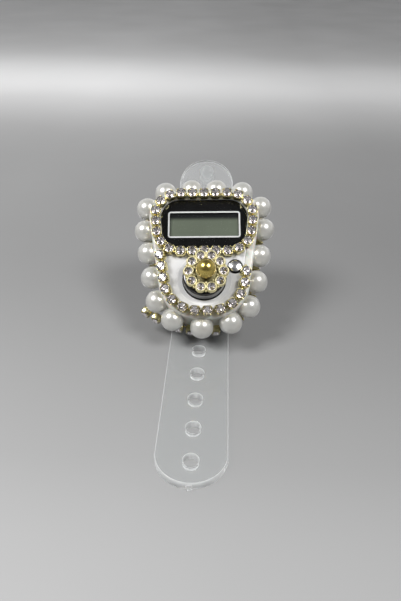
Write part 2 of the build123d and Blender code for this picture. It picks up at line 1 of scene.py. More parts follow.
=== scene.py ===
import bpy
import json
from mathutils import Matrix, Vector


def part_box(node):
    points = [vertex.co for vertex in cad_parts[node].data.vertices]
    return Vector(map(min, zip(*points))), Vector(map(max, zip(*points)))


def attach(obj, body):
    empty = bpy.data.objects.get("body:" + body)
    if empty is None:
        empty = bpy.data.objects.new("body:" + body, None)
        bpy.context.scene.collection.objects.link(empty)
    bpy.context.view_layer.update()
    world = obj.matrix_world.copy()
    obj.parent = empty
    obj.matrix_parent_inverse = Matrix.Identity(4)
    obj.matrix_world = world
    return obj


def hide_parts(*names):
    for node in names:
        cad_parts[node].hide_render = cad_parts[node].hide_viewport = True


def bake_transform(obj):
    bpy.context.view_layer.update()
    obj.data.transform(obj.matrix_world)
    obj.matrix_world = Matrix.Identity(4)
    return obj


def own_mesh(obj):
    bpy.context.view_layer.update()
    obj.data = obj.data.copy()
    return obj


bl_info = {
    "name": "Pearl finger counter",
    "version": (1, 0, 0),
    "blender": (4, 5, 0),
    "location": "View3D > Sidebar > Counter",
    "description": "Dresses the packed finger counter: pearls, cup chains, flower, display, strap and studio",
    "category": "Object",
}

import json
import math

import bmesh
import bpy
import numpy as np
from bpy.props import FloatProperty, FloatVectorProperty, PointerProperty
from mathutils import Matrix, Vector

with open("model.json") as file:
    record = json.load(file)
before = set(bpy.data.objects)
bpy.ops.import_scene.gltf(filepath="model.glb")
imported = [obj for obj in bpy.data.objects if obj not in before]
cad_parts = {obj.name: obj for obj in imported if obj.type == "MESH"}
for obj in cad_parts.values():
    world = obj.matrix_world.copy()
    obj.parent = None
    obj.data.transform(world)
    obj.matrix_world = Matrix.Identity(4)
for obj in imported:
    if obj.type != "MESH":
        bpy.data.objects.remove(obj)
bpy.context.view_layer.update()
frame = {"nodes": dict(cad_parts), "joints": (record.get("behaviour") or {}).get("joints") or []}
cad_nodes = frame["nodes"]

mm = 0.001
merge_distance = 1e-7
ROOT = "counter"
COUNT_KEY = "count_key"

# The case leans back, as the count button's press axis shows, and sits a little askew on its strap.
joints = {joint["name"]: joint for joint in frame["joints"]}
press_axis = joints["count_press"]["axis"]
face_normal = -Vector(press_axis)
lean = math.asin(press_axis[1])
case_twist = math.radians(2.4)
case_turn = Matrix.Rotation(lean, 4, "X") @ Matrix.Rotation(case_twist, 4, "Z")
strap_hinge = joints["strap_bend"]["pos_m"][1]


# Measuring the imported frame

def case_points(node):
    """A node's vertices, along the leaning case's own axes."""
    back = case_turn.inverted()
    return [back @ vertex.co for vertex in cad_nodes[node].data.vertices]


def box_of(points):
    """Lowest and highest corners of some points."""
    low = Vector([min(point[axis] for point in points) for axis in range(3)])
    high = Vector([max(point[axis] for point in points) for axis in range(3)])
    return low, high


def case_box(node):
    """Lowest and highest corners of a node, along the leaning case's own axes."""
    return box_of(case_points(node))


def merged_copy(data):
    """A bmesh copy of a mesh with its loose triangles joined."""
    mesh = bmesh.new()
    mesh.from_mesh(data)
    bmesh.ops.remove_doubles(mesh, verts=mesh.verts, dist=merge_distance)
    return mesh


def solids_of(node):
    """The points of each separate solid in a node, as arrays."""
    mesh = merged_copy(cad_nodes[node].data)
    seen = set()
    solids = []
    for start in mesh.verts:
        if start in seen:
            continue
        seen.add(start)
        reached = [start]
        for vertex in reached:
            for edge in vertex.link_edges:
                other = edge.other_vert(vertex)
                if other not in seen:
                    seen.add(other)
                    reached.append(other)
        solids.append(np.array([vertex.co[:] for vertex in reached]))
    mesh.free()
    return solids


def flat_axis(points):
    """The direction in which a flat solid is thinnest."""
    spread = points - points.mean(0)
    return Vector(np.linalg.eigh(spread.T @ spread)[1][:, 0])


def radius_about(points, middle, axis):
    """The largest distance of some points from an axis through a middle point."""
    return float(np.linalg.norm(np.cross(points - np.array(middle), np.array(axis)), axis=1).max())


def axes_at(origin, forward, up):
    """A placing matrix with its X along forward and its Z along up."""
    across = up.cross(forward).normalized()
    turn = Matrix((across.cross(up), across, up)).transposed().to_4x4()
    return Matrix.Translation(origin) @ turn


# Meshes and pieces

def to_mesh(mesh, name):
    """Writes a bmesh to a new mesh and frees it."""
    data = bpy.data.meshes.new(name)
    mesh.to_mesh(data)
    mesh.free()
    return data


def add_copy(mesh, template, place):
    """Adds a template mesh to a bmesh at a place."""
    moved = template.copy()
    moved.transform(place)
    mesh.from_mesh(moved)
    bpy.data.meshes.remove(moved)


def merge_in(mesh, form, place):
    """Adds one bmesh to another at a place and frees it."""
    template = to_mesh(form, "form")
    add_copy(mesh, template, place)
    bpy.data.meshes.remove(template)


def bevel(mesh, geom, offset, segments, affect="EDGES"):
    bmesh.ops.bevel(mesh, geom=geom, offset=offset, offset_type="OFFSET", segments=segments,
                    profile=0.5, affect=affect, material=-1)


def box_form(mesh, size, place, edge):
    """A bevelled block, centred on its place."""
    block = bmesh.new()
    bmesh.ops.create_cube(block, size=1.0, matrix=Matrix.Diagonal((*size, 1.0)))
    bevel(block, block.edges[:], edge, 2)
    merge_in(mesh, block, place)


def lathe(mesh, profile, place, steps):
    """Spins a profile of radius and height pairs, in millimetres, round the Z axis of its place."""
    spun = bmesh.new()
    verts = [spun.verts.new((radius * mm, 0.0, height * mm)) for radius, height in profile]
    edges = [spun.edges.new(pair) for pair in zip(verts, verts[1:])]
    bmesh.ops.spin(spun, geom=verts + edges, axis=(0.0, 0.0, 1.0), cent=(0.0, 0.0, 0.0),
                   steps=steps, angle=2.0 * math.pi, use_merge=True)
    bmesh.ops.remove_doubles(spun, verts=spun.verts, dist=merge_distance)
    bmesh.ops.recalc_face_normals(spun, faces=spun.faces)
    merge_in(mesh, spun, place)


def rounded_panel(centre, width, length, corner, segments):
    """A new bmesh of one flat face with rounded corners."""
    mesh = bmesh.new()
    size = Matrix.Translation(centre) @ Matrix.Diagonal((width, length, 1.0, 1.0))
    bmesh.ops.create_grid(mesh, x_segments=1, y_segments=1, size=0.5, matrix=size)
    bevel(mesh, mesh.verts[:], corner, segments, affect="VERTICES")
    return mesh


def raise_faces(mesh, height):
    """Makes a flat mesh a closed body of a height."""
    raised = bmesh.ops.extrude_face_region(mesh, geom=mesh.faces[:])["geom"]
    bmesh.ops.translate(mesh, verts=[item for item in raised if isinstance(item, bmesh.types.BMVert)],
                        vec=(0.0, 0.0, height))
    bmesh.ops.recalc_face_normals(mesh, faces=mesh.faces)


def add_object(name, data):
    """Adds an object with its mesh, light or camera to the scene."""
    made = bpy.data.objects.new(name, data)
    bpy.context.scene.collection.objects.link(made)
    return made


def new_object(mesh, name):
    return add_object(name, to_mesh(mesh, name))


def smooth_but(piece, degrees):
    """Shades a piece smooth, apart from edges sharper than an angle."""
    piece.data.shade_smooth()
    piece.data.set_sharp_from_angle(angle=math.radians(degrees))


def make_piece(mesh, name, body, finishes, nodes=(), sharp=None):
    """Turns a bmesh into a piece that rides on a body and stands for CAD nodes."""
    piece = new_object(mesh, name)
    for finish in finishes:
        piece.data.materials.append(finish)
    if sharp is not None:
        smooth_but(piece, sharp)
    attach(piece, body)
    if nodes:
        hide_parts(*nodes)
    return piece


def dress(finish, *nodes):
    """Gives CAD nodes a finish."""
    for node in nodes:
        part = cad_nodes[node]
        if not part.material_slots:
            part.data.materials.append(finish)
        for slot in part.material_slots:
            slot.material = finish


# Shader nodes

def set_socket(socket, value):
    """Links an input to another socket, or gives it a plain value."""
    if isinstance(value, bpy.types.NodeSocket):
        socket.id_data.links.new(value, socket)
    else:
        socket.default_value = value


def set_inputs(node, values):
    """Sets a node's inputs by name, with _ for a space."""
    for name, value in values.items():
        set_socket(node.inputs[name.replace("_", " ")], value)


def add_node(tree, kind, options=None, **values):
    """Adds a shader node with its options and its inputs set."""
    node = tree.nodes.new("ShaderNode" + kind)
    for name, option in (options or {}).items():
        setattr(node, name, option)
    set_inputs(node, values)
    return node


def object_place(tree):
    return add_node(tree, "TexCoord").outputs["Object"]


def axes_of(tree, place):
    """A place's X, Y and Z, as outputs."""
    return add_node(tree, "SeparateXYZ", Vector=place).outputs


def noise(tree, place, **values):
    return add_node(tree, "TexNoise", Vector=place, **values).outputs["Fac"]


def ranged(tree, value, options=None, **limits):
    """A value taken from one range to another."""
    return add_node(tree, "MapRange", options, Value=value, **limits).outputs["Result"]


def mixed(tree, factor, first, second):
    """A mix of two colours by a factor."""
    return add_node(tree, "Mix", {"data_type": "RGBA"}, Factor=factor, A=first, B=second).outputs["Result"]


def multiplied(tree, first, second):
    """Two vectors or colours multiplied, part by part."""
    product = add_node(tree, "VectorMath", {"operation": "MULTIPLY"})
    for socket, value in zip(product.inputs, (first, second)):
        set_socket(socket, value)
    return product.outputs["Vector"]


def graded(tree, place, stops, interpolation, blue=1.0):
    """A grey ramp through stops of place and level."""
    ramp = add_node(tree, "ValToRGB", Fac=place)
    ramp.color_ramp.interpolation = interpolation
    elements = ramp.color_ramp.elements
    for stop, level in stops:
        elements.new(stop).color = (level, level, level * blue, 1.0)
    elements.remove(elements[0])
    elements.remove(elements[-1])
    return ramp.outputs["Color"]


def uneven_finish():
    """A group that varies a surface's colour, roughness and normal in soft patches and a fine grain."""
    group = bpy.data.node_groups.get("Uneven finish")
    if group:
        return group
    group = bpy.data.node_groups.new("Uneven finish", "ShaderNodeTree")
    sockets = {
        "INPUT": {"First colour": "Color", "Second colour": "Color", "Patch scale": "Float",
                  "Smoothest": "Float", "Roughest": "Float", "Grain scale": "Float", "Grain depth": "Float"},
        "OUTPUT": {"Color": "Color", "Roughness": "Float", "Normal": "Vector"},
    }
    for direction, named in sockets.items():
        for name, kind in named.items():
            group.interface.new_socket(name=name, in_out=direction, socket_type="NodeSocket" + kind)
    given = group.nodes.new("NodeGroupInput").outputs
    place = object_place(group)
    patches = noise(group, place, Scale=given["Patch scale"], Detail=3.0)
    spread = ranged(group, patches, From_Min=0.32, From_Max=0.68)
    gloss = ranged(group, patches, From_Min=0.25, From_Max=0.75,
                   To_Min=given["Smoothest"], To_Max=given["Roughest"])
    grain = noise(group, place, Scale=given["Grain scale"], Detail=2.0)
    bump = add_node(group, "Bump", Strength=given["Grain depth"], Distance=0.05 * mm, Height=grain)
    set_inputs(group.nodes.new("NodeGroupOutput"), {
        "Color": mixed(group, spread, given["First colour"], given["Second colour"]),
        "Roughness": gloss,
        "Normal": bump.outputs["Normal"],
    })
    return group


# Making finishes

def surface_of(finish):
    """A finish's main shader."""
    return finish.node_tree.nodes["Principled BSDF"]


def new_finish(name, **sockets):
    """A new material, with sockets of its main shader set."""
    finish = bpy.data.materials.new(name)
    finish.use_nodes = True
    set_inputs(surface_of(finish), sockets)
    return finish


def varied_finish(name, colours, rough, patch, grain, depth, **sockets):
    """A material whose roughness and normal vary over the surface, and its colour where two are given."""
    found = bpy.data.materials.get(name)
    if found:
        return found
    finish = new_finish(name, **sockets)
    skin = add_node(finish.node_tree, "Group", {"node_tree": uneven_finish()}, Patch_scale=patch,
                    Smoothest=rough[0], Roughest=rough[1], Grain_scale=grain, Grain_depth=depth)
    base = (*colours[0], 1.0)
    if len(colours) == 2:
        set_inputs(skin, {"First colour": base, "Second colour": (*colours[1], 1.0)})
        base = skin.outputs["Color"]
    set_inputs(surface_of(finish), {
        "Base Color": base,
        "Roughness": skin.outputs["Roughness"],
        "Normal": skin.outputs["Normal"],
    })
    return finish


def clear_glass(name, tint, rough, ior):
    """A clear hard finish, such as glass or a stone's crown."""
    found = bpy.data.materials.get(name)
    return found or new_finish(name, Base_Color=(*tint, 1.0), Roughness=rough, IOR=ior,
                               Transmission_Weight=1.0)


def let_light_through(finish):
    """Lets light pass a clear piece, so that its shadow stays faint."""
    tree = finish.node_tree
    path = add_node(tree, "LightPath")
    bare = add_node(tree, "BsdfTransparent", Color=(0.96, 0.965, 0.965, 1.0))
    mix = add_node(tree, "MixShader", Fac=path.outputs["Is Shadow Ray"])
    set_socket(mix.inputs[1], surface_of(finish).outputs["BSDF"])
    set_socket(mix.inputs[2], bare.outputs["BSDF"])
    set_inputs(tree.nodes["Material Output"], {"Surface": mix.outputs["Shader"]})
    return finish


def case_place(tree, centre=(0.0, 0.0, 0.0)):
    """Places on a piece along the case's own axes, measured from a centre."""
    turned = add_node(tree, "Mapping", {"vector_type": "TEXTURE"}, Vector=object_place(tree),
                      Location=centre, Rotation=case_turn.to_euler())
    return turned.outputs["Vector"]


def mix_in(finish, value, start, full, colour):
    """Mixes a colour into a finish's own, smoothly, as a value goes from start to full."""
    tree = finish.node_tree
    base = surface_of(finish).inputs["Base Color"]
    step = ranged(tree, value, {"interpolation_type": "SMOOTHSTEP"}, From_Min=start, From_Max=full)
    set_socket(base, mixed(tree, step, base.links[0].from_socket, (*colour, 1.0)))
    return finish


def tint_round(finish, node, start, full, colour):
    """Mixes a colour in with the distance from a node's axis across the case's face."""
    tree = finish.node_tree
    low, high = case_box(node)
    across = multiplied(tree, case_place(tree, case_turn @ ((low + high) / 2)), (1.0, 1.0, 0.0))
    distance = add_node(tree, "VectorMath", {"operation": "LENGTH"}, Vector=across)
    return mix_in(finish, distance.outputs["Value"], start, full, colour)


def tones(setting, *factors):
    """A colour setting, lightened or darkened by each factor."""
    colour = getattr(bpy.context.scene.counter_finishes, setting)
    return [tuple(level * factor for level in colour) for factor in factors]


# Finishes

METAL = {"Metallic": 1.0}
moulding = (("case_white", 1.0, 0.965), (0.2, 0.32), 180.0, 1600.0, 0.12,
            {"Coat_Weight": 0.25, "Coat_Roughness": 0.12})

# Each row: two colours, or a colour setting and factors that lighten or darken it; the least and most
# roughness; the scale of patches and of grain; the depth of grain; other sockets of the main shader.
finish_rows = {
    # Case and buttons
    "white_plastic": moulding,
    "white_face": moulding,
    "dark_chrome": (((0.11, 0.11, 0.112), (0.075, 0.075, 0.077)), (0.1, 0.2), 400.0, 900.0, 0.05, METAL),
    "reset_chrome": (((0.86, 0.86, 0.86), (0.76, 0.76, 0.77)), (0.2, 0.3), 400.0, 900.0, 0.04, METAL),
    "screw_steel": (((0.5, 0.5, 0.51), (0.36, 0.36, 0.37)), (0.24, 0.4), 900.0, 3000.0, 0.15, METAL),

    # Board, battery and display
    "tracked_board": (((0.008, 0.085, 0.03), (0.01, 0.11, 0.042)), (0.25, 0.4), 300.0, 1800.0, 0.15, {}),
    "poured_resin": (((0.008, 0.008, 0.009), (0.014, 0.014, 0.015)), (0.18, 0.34), 350.0, 900.0, 0.25, {}),
    "spring_contact": (((0.66, 0.63, 0.55), (0.52, 0.49, 0.42)), (0.2, 0.36), 700.0, 2500.0, 0.1, METAL),
    "brushed_cell_can": (((0.6, 0.59, 0.57), (0.5, 0.49, 0.47)), (0.2, 0.34), 500.0, 2500.0, 0.08, METAL),
    "striped_rubber": (((0.22, 0.1, 0.1), (0.16, 0.075, 0.075)), (0.55, 0.7), 900.0, 3000.0, 0.2, {}),
    "display_grey": (("display", 1.0, 0.92), (0.3, 0.4), 120.0, 4000.0, 0.15, {"Specular_IOR_Level": 0.08}),
    "display_rear": (("display", 0.9, 0.8), (0.4, 0.5), 150.0, 4000.0, 0.15, {}),
    "mask_black": (((0.006, 0.006, 0.006), (0.009, 0.009, 0.009)), (0.35, 0.45), 300.0, 2500.0, 0.05,
                   {"Specular_IOR_Level": 0.0}),
    "print_white": (((0.82, 0.82, 0.81), (0.7, 0.7, 0.69)), (0.4, 0.55), 900.0, 3000.0, 0.1, {}),

    # Trim: cups, the recess behind the flower's bead (gold darkened as painted shade), the bead, the backs of
    # the stones, and glue
    "worn_gold_plate": (("gold", 1.0, 0.85), (0.2, 0.32), 420.0, 2600.0, 0.08, METAL),
    "aged_gold": (("gold", 0.34, 0.2), (0.4, 0.5), 500.0, 2600.0, 0.2, METAL),
    "gold_bead_coat": (("gold_bead", 1.0, 0.9), (0.24, 0.3), 160.0, 1500.0, 0.04,
                       {"Metallic": 1.0, "Coat_Weight": 0.9, "Coat_Roughness": 0.2}),
    "stone_foil": (((0.93, 0.905, 0.905), (0.82, 0.785, 0.79)), (0.1, 0.24), 1500.0, 2500.0, 0.02, METAL),
    "dried_glue": (((0.74, 0.73, 0.69), (0.62, 0.6, 0.54)), (0.25, 0.5), 420.0, 1100.0, 0.5,
                   {"Subsurface_Weight": 0.2, "Subsurface_Scale": 1.5 * mm}),

    # Strap: its faces, its milky end behind the case, its moulded edges and hole walls, and its faint stud
    "clear_vinyl": (("strap", 1.0), (0.03, 0.1), 160.0, 260.0, 0.2,
                    {"IOR": 1.3, "Transmission_Weight": 0.94}),
    "hazy_vinyl": (("strap", 1.0), (0.1, 0.2), 160.0, 260.0, 0.2, {"IOR": 1.3, "Transmission_Weight": 0.9}),
    "frosted_vinyl": (("strap", 1.0), (0.4, 0.55), 300.0, 900.0, 0.2,
                      {"IOR": 1.15, "Transmission_Weight": 0.6}),
    "soft_stud": (("strap", 1.0), (0.25, 0.4), 300.0, 600.0, 0.1, {"IOR": 1.06, "Transmission_Weight": 0.96}),
}

# Where painted light and shade start and are full: radii of the painted light in the dish round the count
# button and of the painted dark ring round the reset button, and depths of the painted shadow under the
# window's top.
dish_light_edge = (7.2 * mm, 6.9 * mm)
reset_rim_shade = (1.48 * mm, 1.62 * mm)
window_shadow = (2.2 * mm, 0.8 * mm)

# Stops of place and level: the floor's painted light and shade, from the front of the floor to its back, with
# a painted bright band; and the room light, from the room's floor to its ceiling.
floor_light_grade = (
    (0.01, 0.47), (0.053, 0.44), (0.081, 0.38), (0.14, 0.3), (0.203, 0.255), (0.304, 0.265),
    (0.41, 0.31), (0.5, 0.66), (0.564, 0.94), (0.65, 0.74), (0.72, 0.5), (0.8, 0.44), (0.97, 0.38),
)
room_grade = ((0.02, 0.4), (0.5, 0.9), (0.62, 1.0), (0.78, 0.5), (0.98, 0.15))


def listed(name):
    """A finish from the rows above."""
    colours, *skin, sockets = finish_rows[name]
    if isinstance(colours[0], str):
        colours = tones(*colours)
    return varied_finish(name, colours, *skin, **sockets)


def white_face():
    """White plastic with painted light in the dish round the count button, which lightens the dish's own
    shade.
    """
    return tint_round(listed("white_face"), "count_button", *dish_light_edge, (0.93, 0.93, 0.935))


def reset_chrome():
    """Chrome with a painted dark ring where the button turns down into its hole, standing in for the gap's
    shadow and the rim's dark reflection.
    """
    return tint_round(listed("reset_chrome"), "reset_button", *reset_rim_shade, (0.03, 0.03, 0.03))


def pale_gold():
    """Lighter, softer plating on the flower's rims."""
    pale = [min(1.0, level * lift) for level, lift in zip(tones("gold", 1.0)[0], (1.2, 1.22, 1.4))]
    return varied_finish("pale_gold", (pale, [level * 0.9 for level in pale]), (0.34, 0.44), 500.0, 2600.0,
                         0.05, Metallic=0.85)


def pearl_coat():
    """Coated beads, a little warmer in patches."""
    red, green, blue = tones("pearl", 1.0)[0]
    warm = (red, green * 0.975, blue * 0.95)
    return varied_finish("pearl_coat", ((red, green, blue), warm), (0.28, 0.33), 160.0, 1400.0, 0.03,
                         Metallic=0.4, Coat_Weight=1.0, Coat_Roughness=0.25, Coat_IOR=2.1,
                         Sheen_Weight=1.0, Sheen_Roughness=0.32, Subsurface_Weight=0.5,
                         Subsurface_Scale=1.2 * mm, Subsurface_Radius=(1.0, 1.0, 0.95))


def brushed_cell_can():
    """Steel with fine straight brushing."""
    finish = listed("brushed_cell_can")
    tree = finish.node_tree
    stretch = add_node(tree, "Mapping", Vector=object_place(tree), Scale=(1.0, 14.0, 1.0))
    brushing = noise(tree, stretch.outputs["Vector"], Scale=500.0, Detail=6.0, Roughness=0.7)
    rough = ranged(tree, brushing, From_Min=0.4, From_Max=0.75, To_Min=0.2, To_Max=0.42)
    set_inputs(surface_of(finish), {"Roughness": rough})
    return finish


def tracked_board():
    """Solder mask with copper tracks showing as paler lines."""
    finish = listed("tracked_board")
    tree = finish.node_tree
    tracks = add_node(tree, "TexBrick", Vector=object_place(tree), Color1=(0.008, 0.085, 0.03, 1.0),
                      Color2=(0.01, 0.1, 0.037, 1.0), Mortar=(0.03, 0.22, 0.08, 1.0), Scale=260.0,
                      Mortar_Size=0.06)
    set_inputs(surface_of(finish), {"Base Color": tracks.outputs["Color"]})
    return finish


def display_grey(window_top):
    """Blank display glass, with a painted shadow under the upper edge of its window."""
    finish = listed("display_grey")
    tree = finish.node_tree
    # Painted shadow: the glass darkens towards the window's upper edge.
    start, full = (window_top - below for below in window_shadow)
    return mix_in(finish, axes_of(tree, case_place(tree))["Y"], start, full, (0.009, 0.01, 0.011))


def lens_glass():
    return let_light_through(clear_glass("lens_glass", (0.97, 0.97, 0.97), 0.02, 1.49))


def stone_crown():
    return clear_glass("stone_crown", (1.0, 0.985, 0.985), 0.0, 1.58)


def vinyl(name):
    """Soft clear strap plastic with a wavy skin; the less it transmits, the hazier it looks."""
    return let_light_through(listed(name))


def floor_paint():
    """Grey floor with painted light and shade: graded from front to back, with a painted bright band, and
    paler on the left.
    """
    colour = tuple(bpy.context.scene.counter_stage.floor)
    finish = varied_finish("floor_paint", (colour, [level * 0.97 for level in colour]), (0.38, 0.46),
                           14.0, 900.0, 0.02)
    tree = finish.node_tree
    base = surface_of(finish).inputs["Base Color"]
    axes = axes_of(tree, object_place(tree))
    depth = ranged(tree, axes["Y"], From_Min=-0.1, From_Max=0.6)
    # Painted light: the floor is made paler on the left.
    side = ranged(tree, axes["X"], From_Min=-0.08, From_Max=0.08, To_Min=1.12, To_Max=0.8)
    lit = multiplied(tree, base.links[0].from_socket, graded(tree, depth, floor_light_grade, "B_SPLINE"))
    sided = add_node(tree, "VectorMath", {"operation": "SCALE"}, Vector=lit, Scale=side)
    set_socket(base, sided.outputs["Vector"])
    return finish


# Settings

def colour_setting(name, description, value):
    return FloatVectorProperty(name=name, description=description, default=value,
                               subtype="COLOR", size=3, min=0.0, max=1.0)


def number_setting(name, description, value, **options):
    return FloatProperty(name=name, description=description, default=value, **options)


def length_setting(name, description, value):
    return number_setting(name, description, value, unit="LENGTH", min=0.0)


def angle_setting(name, description, degrees):
    return number_setting(name, description, math.radians(degrees), subtype="ANGLE")


class CounterFinishes(bpy.types.PropertyGroup):
    """Colours of the counter's finishes"""
    case_white: colour_setting("Case", "Moulded case, cover and strap keeper", (0.745, 0.745, 0.755))
    gold: colour_setting("Gold plate", "Cups, claws and the flower setting", (0.74, 0.665, 0.35))
    pearl: colour_setting("Pearls", "White beads round the rim", (0.665, 0.665, 0.632))
    gold_bead: colour_setting("Gold bead", "Bead in the flower", (0.64, 0.49, 0.115))
    display: colour_setting("Display", "Blank display glass", (0.151, 0.175, 0.131))
    strap: colour_setting("Strap", "Tint of the clear strap", (0.94, 0.95, 0.95))


class CounterForms(bpy.types.PropertyGroup):
    """Small forms of the counter's trim"""
    bead_hole: length_setting("Bead hole", "Radius of the drilled hole in a pearl", 0.42 * mm)
    cup_rim: length_setting("Cup rim", "Wall of a cup at its top", 0.13 * mm)
    cup_corner: length_setting("Cup corner", "Bevel on a cup's upright corners", 0.5 * mm)
    pocket_depth: length_setting("Pocket depth", "Depth of a cup's pocket", 0.75 * mm)
    claw_width: length_setting("Claw width", "Width of a claw that holds a stone", 0.34 * mm)
    claw_length: length_setting("Claw length", "Height of a claw", 0.75 * mm)
    lens_edge: length_setting("Lens edge", "Bevel round the display lens", 0.25 * mm)
    line_width: length_setting("Window line", "Width of the printed line round the window", 0.42 * mm)
    strap_edge: length_setting("Strap edge", "Rounding of the strap's edges and holes", 0.4 * mm)


class CounterStage(bpy.types.PropertyGroup):
    """Studio floor, lights and camera"""
    floor: colour_setting("Floor", "Plain studio floor", (1.0, 1.0, 1.0))
    light_power: number_setting("Light power", "Power of the left softbox", 4.7, unit="POWER", min=0.0)
    light_width: length_setting("Softbox width", "Side of each square softbox", 0.28)
    light_distance: length_setting("Softbox distance", "From the counter to each softbox", 0.8)
    world_strength: number_setting("Room light", "Strength of the even room light", 0.62, min=0.0)
    camera_place: FloatVectorProperty(name="Camera place", description="Where the camera stands",
                                      default=(0.004142, -0.120617, 0.092089), unit="LENGTH", size=3)
    camera_pitch: angle_setting("Camera pitch", "Angle below level", 33.747)
    camera_yaw: angle_setting("Camera yaw", "Turn to the left", 1.992)
    camera_roll: angle_setting("Camera roll", "Turn about the view line", 0.881)
    camera_lens: number_setting("Camera lens", "Focal length in millimetres on a 36 mm film", 33.202, min=1.0)


# Cup chains

claw_rise = 0.5 * mm
claw_thickness = 0.28 * mm
claw_inset = 0.27 * mm
claw_lift = 0.1 * mm
claw_edge = 0.1 * mm
claw_tilt = -0.45
cup_edge = 0.05 * mm
tab_width = 0.7 * mm
tab_thickness = 0.34 * mm
tab_level = 0.48 * mm
tab_overlap = 0.5 * mm
tab_edge = 0.09 * mm
shortest_tab = 0.1 * mm
corner_band = 0.02 * mm
stone_sides = 8
stone_fullness = 1.1
crown_share = 0.4
foil_level = -0.04


def sharp_edges(mesh):
    """Edges where two faces turn by more than 60 degrees."""
    return [edge for edge in mesh.edges if edge.is_manifold and edge.calc_face_angle() > math.radians(60.0)]


def stone_template():
    """A cut stone of radius 1 with its girdle at level 0; faces of its back take the second finish."""
    mesh = bmesh.new()
    half_step = math.pi / stone_sides
    rings = (
        (2 * stone_sides, 1.0, -0.03, 0.0),
        (2 * stone_sides, 1.0, 0.03, 0.0),
        (stone_sides, 0.83, 0.24, half_step),
        (stone_sides, 0.56, 0.4, 0.0),
        (stone_sides, 0.52, -0.31, half_step),
        (stone_sides, 0.06, -0.54, 0.0),
    )
    for count, radius, level, turn in rings:
        place = Matrix.Translation((0.0, 0.0, level)) @ Matrix.Rotation(turn, 4, "Z")
        bmesh.ops.create_circle(mesh, cap_ends=False, radius=radius, segments=count, matrix=place)
    bmesh.ops.convex_hull(mesh, input=mesh.verts[:])
    loose = [edge for edge in mesh.edges if not edge.link_faces]
    bmesh.ops.delete(mesh, geom=loose, context="EDGES")
    bmesh.ops.dissolve_limit(mesh, angle_limit=math.radians(2.0), verts=mesh.verts, edges=mesh.edges)
    bmesh.ops.recalc_face_normals(mesh, faces=mesh.faces)
    for face in mesh.faces:
        face.material_index = int(face.calc_center_median().z < foil_level)
    return to_mesh(mesh, "cut_stone")


def cup_template(width, height, forms):
    """A square cup with bevelled corners, a stone pocket and four claws; its foot is at the origin."""
    mesh = bmesh.new()
    size = Matrix.Translation((0.0, 0.0, height / 2)) @ Matrix.Diagonal((width, width, height, 1.0))
    bmesh.ops.create_cube(mesh, size=1.0, matrix=size)
    upright = [edge for edge in mesh.edges if abs(edge.verts[0].co.z - edge.verts[1].co.z) > height / 2]
    bevel(mesh, upright, forms.cup_corner, 2)
    top = max(mesh.faces, key=lambda face: face.calc_center_median().z)
    bmesh.ops.inset_region(mesh, faces=[top], thickness=forms.cup_rim, use_even_offset=True)
    sunk = bmesh.ops.extrude_discrete_faces(mesh, faces=[top])["faces"][0]
    bmesh.ops.translate(mesh, verts=sunk.verts, vec=(0.0, 0.0, -forms.pocket_depth))
    bevel(mesh, sharp_edges(mesh), cup_edge, 2)
    claw = (claw_thickness, forms.claw_width, forms.claw_length)
    reach = (width / 2 - forms.cup_corner) * math.sqrt(2.0) + forms.cup_corner - claw_inset
    lifted = Matrix.Translation((reach, 0.0, height + claw_lift)) @ Matrix.Rotation(claw_tilt, 4, "Y")
    for corner in range(4):
        turn = Matrix.Rotation(math.radians(45.0 + 90.0 * corner), 4, "Z")
        box_form(mesh, claw, turn @ lifted, claw_edge)
    return to_mesh(mesh, "stone_cup")


def chain_links(cups, stones):
    """Each cup's placing matrix, size and reach along the chain, and its stone's crown height and radius."""
    cup_solids = solids_of(cups)
    links = []
    for stone in solids_of(stones):
        middle = Vector(stone.mean(0))
        points = min(cup_solids, key=lambda solid: (Vector(solid.mean(0)) - middle).length)
        up = flat_axis(stone)
        if up.dot(middle - Vector(points.mean(0))) < 0:
            up = -up
        axis = np.array(up)
        foot = middle + up * (float((points @ axis).min()) - middle.dot(up))
        beside = points - np.array(foot)
        beside -= np.outer(beside @ axis, axis)
        ranges = np.linalg.norm(beside, axis=1)
        forward = Vector(beside[ranges > ranges.max() - corner_band].mean(0)).normalized()
        place = axes_at(foot, forward, up)
        local = np.array([(place.inverted() @ Vector(point))[:] for point in points])
        crown = float((stone @ axis).max()) - foot.dot(up)
        links.append((place, np.ptp(local, axis=0), local.max(0)[0], crown, radius_about(stone, middle, up)))
    return links


def build_chain(name, forms):
    """Cups joined by tabs, and the stones that they hold, for one chain."""
    cups = name + "_cups"
    stones = name + "_stones"
    links = chain_links(cups, stones)
    sizes = [size for place, size, reach, crown, radius in links]
    width = min(size[1] for size in sizes)
    height = sizes[0][2] - claw_rise
    cup = cup_template(width, height, forms)
    stone = stone_template()
    metal = bmesh.new()
    gems = bmesh.new()
    for place, size, reach, crown, radius in links:
        add_copy(metal, cup, place)
        if reach > width / 2 + shortest_tab:
            tab = (reach - width / 2 + tab_overlap, tab_width, tab_thickness)
            middle = Matrix.Translation(((reach + width / 2) / 2, 0.0, tab_level))
            box_form(metal, tab, place @ middle, tab_edge)
        radius *= stone_fullness
        girdle = Matrix.Translation((0.0, 0.0, crown - crown_share * radius))
        add_copy(gems, stone, place @ girdle @ Matrix.Scale(radius, 4))
    make_piece(metal, name + "_cup_links", ROOT, [listed("worn_gold_plate")], [cups],
               sharp=35.0)
    make_piece(gems, name + "_cut_stones", ROOT, [stone_crown(), listed("stone_foil")],
               [stones])


# Strap

strap_thickness = 2.0 * mm
strap_run_end = 9.376 * mm
strap_bend = 8.246 * mm
end_roundness = 0.998
bend_step = 0.6 * mm
flex_half = 4.0 * mm
hole_radius = 1.6 * mm
hole_places = tuple(place * mm for place in (-44.5, -35.5, -26.5, -17.5, -8.5))
nub_length = 0.7 * mm
nub_width = 1.1 * mm
nub_edge = 0.2 * mm
shortest_edge = 0.02 * mm
level_edge = 0.1 * mm
side_slope = 0.75
strap_finishes = ("clear_vinyl", "frosted_vinyl", "hazy_vinyl")

